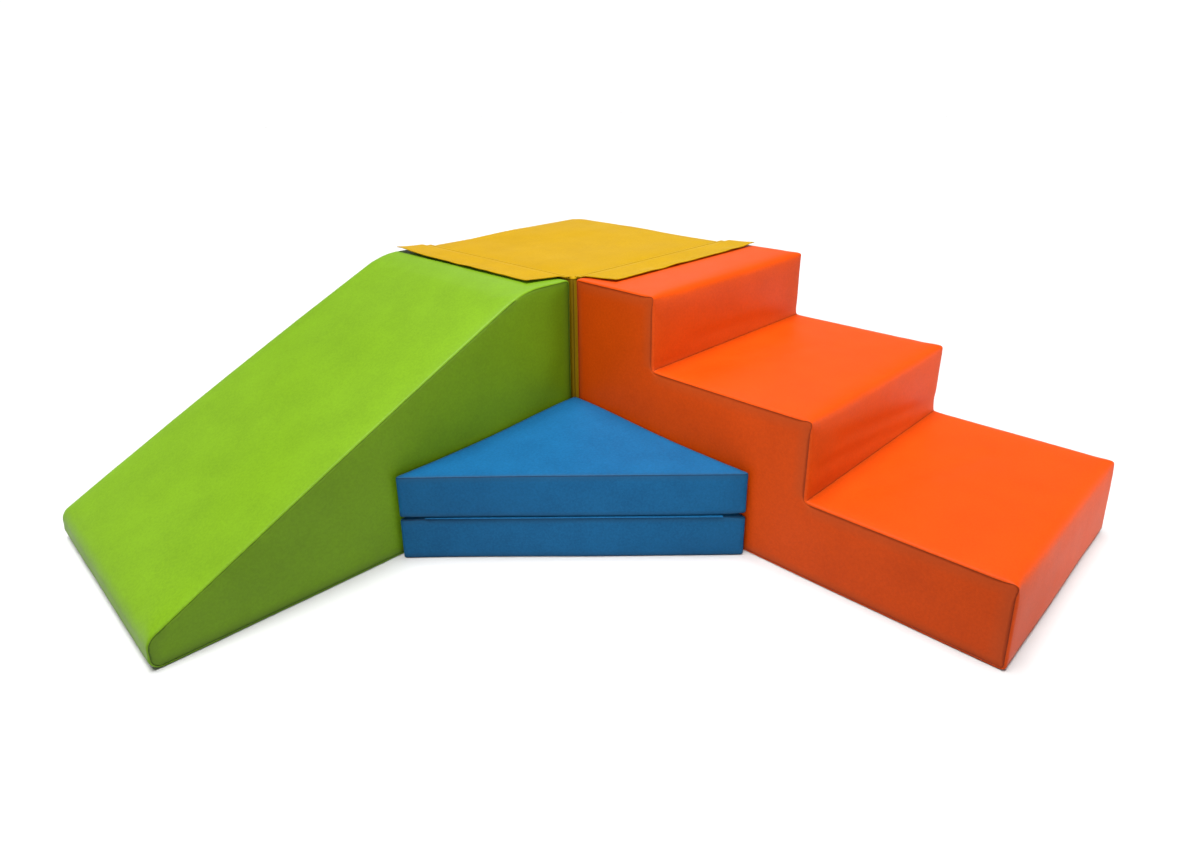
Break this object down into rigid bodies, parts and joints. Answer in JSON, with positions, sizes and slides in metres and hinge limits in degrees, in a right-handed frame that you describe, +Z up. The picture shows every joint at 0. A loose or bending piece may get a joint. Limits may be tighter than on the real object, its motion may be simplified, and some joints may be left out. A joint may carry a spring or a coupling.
{
  "type": "foam climbing set",
  "caption": "Soft-play climbing corner: a square foam block with a ramp and a foam stair against two sides, held by lift-up flaps, and a folding triangular mat in the nook.",
  "frame": {"origin": "on the floor, at the middle of the footprint of the whole set as it stands put together", "axes": "+Z up; the ramp runs towards -X from the corner block and the stair towards -Y, so the nook with the mat faces -X and -Y"},
  "size_m": [1.604, 1.6035, 0.5049],
  "materials": {
    "yellow_cover": "matte coated fabric with a fine grain",
    "green_cover": "matte coated fabric with a fine grain",
    "orange_cover": "matte coated fabric with a fine grain",
    "blue_cover": "matte coated fabric with a fine grain",
    "foam": "open-cell foam, cut faces",
    "zip_tape": "woven polyester tape",
    "zip_coil": "nylon coil",
    "zip_slider": "die-cast metal, plain",
    "hook_strip": "woven hook tape",
    "loop_strip": "napped loop tape"
  },
  "bodies": {
    "corner_block": {"block_foam_core": "foam", "block_top_panel": "yellow_cover", "block_ramp_side_panel": "yellow_cover", "block_stair_side_panel": "yellow_cover", "block_right_panel": "yellow_cover", "block_back_panel": "yellow_cover", "block_base_panel": "yellow_cover", "block_zip_tape": "zip_tape", "block_zip_coil": "zip_coil"},
    "block_zip_slider": {"block_zip_slider": "zip_slider"},
    "ramp_flap": {"ramp_flap_sheet": "yellow_cover", "ramp_flap_hook_strip": "hook_strip"},
    "stair_flap": {"stair_flap_sheet": "yellow_cover", "stair_flap_hook_strip": "hook_strip"},
    "ramp": {"ramp_foam_core": "foam", "ramp_slide_panel": "green_cover", "ramp_inner_side_panel": "green_cover", "ramp_outer_side_panel": "green_cover", "ramp_end_panel": "green_cover", "ramp_base_panel": "green_cover", "ramp_loop_strip": "loop_strip", "ramp_zip_tape": "zip_tape", "ramp_zip_coil": "zip_coil"},
    "ramp_zip_slider": {"ramp_zip_slider": "zip_slider"},
    "stair": {"stair_core_lower": "foam", "stair_core_middle": "foam", "stair_core_upper": "foam", "stair_top_step_panel": "orange_cover", "stair_middle_step_panel": "orange_cover", "stair_lower_step_panel": "orange_cover", "stair_inner_side_panel": "orange_cover", "stair_outer_side_panel": "orange_cover", "stair_end_panel": "orange_cover", "stair_base_panel": "orange_cover", "stair_loop_strip": "loop_strip", "stair_zip_tape": "zip_tape", "stair_zip_coil": "zip_coil"},
    "stair_zip_slider": {"stair_zip_slider": "zip_slider"},
    "mat_lower": {"mat_lower_foam_core": "foam", "mat_lower_top_panel": "blue_cover", "mat_lower_side_band": "blue_cover", "mat_lower_base_panel": "blue_cover", "mat_lower_hinge_leaf": "blue_cover", "mat_lower_zip_tape": "zip_tape", "mat_lower_zip_coil": "zip_coil"},
    "mat_lower_zip_slider": {"mat_lower_zip_slider": "zip_slider"},
    "mat_upper": {"mat_upper_foam_core": "foam", "mat_upper_top_panel": "blue_cover", "mat_upper_side_band": "blue_cover", "mat_upper_base_panel": "blue_cover", "mat_upper_hinge_leaf": "blue_cover", "mat_upper_zip_tape": "zip_tape", "mat_upper_zip_coil": "zip_coil"},
    "mat_upper_zip_slider": {"mat_upper_zip_slider": "zip_slider"}
  },
  "joints": [
    {"name": "ramp_slide_away", "type": "slide", "parent": "corner_block", "child": "ramp", "axis": [-1, 0, 0], "range_m": [0, 0.5]},
    {"name": "stair_slide_away", "type": "slide", "parent": "corner_block", "child": "stair", "axis": [0, -1, 0], "range_m": [0, 0.5]},
    {"name": "ramp_flap_lift", "type": "hinge", "parent": "corner_block", "child": "ramp_flap", "pos_m": [0.212, 0.502, 0.5027], "axis": [0, 1, 0], "range_deg": [0, 180]},
    {"name": "stair_flap_lift", "type": "hinge", "parent": "corner_block", "child": "stair_flap", "pos_m": [0.502, 0.212, 0.5027], "axis": [-1, 0, 0], "range_deg": [0, 110]},
    {"name": "mat_slide_out", "type": "slide", "parent": "corner_block", "child": "mat_lower", "axis": [-0.7071, -0.7071, 0], "range_m": [0, 0.5]},
    {"name": "mat_unfold", "type": "hinge", "parent": "mat_lower", "child": "mat_upper", "pos_m": [-0.06507, -0.06507, 0.095], "axis": [0.7071, -0.7071, 0], "range_deg": [0, 180]},
    {"name": "block_zip_slide", "type": "slide", "parent": "corner_block", "child": "block_zip_slider", "axis": [1, 0, 0], "range_m": [0, 0.368]},
    {"name": "ramp_zip_slide", "type": "slide", "parent": "ramp", "child": "ramp_zip_slider", "axis": [-1, 0, 0], "range_m": [0, 0.368]},
    {"name": "stair_zip_slide", "type": "slide", "parent": "stair", "child": "stair_zip_slider", "axis": [0, -1, 0], "range_m": [0, 0.368]},
    {"name": "mat_lower_zip_slide", "type": "slide", "parent": "mat_lower", "child": "mat_lower_zip_slider", "axis": [0, 1, 0], "range_m": [0, 0.288]},
    {"name": "mat_upper_zip_slide", "type": "slide", "parent": "mat_upper", "child": "mat_upper_zip_slider", "axis": [0, 1, 0], "range_m": [0, 0.288]}
  ]
}
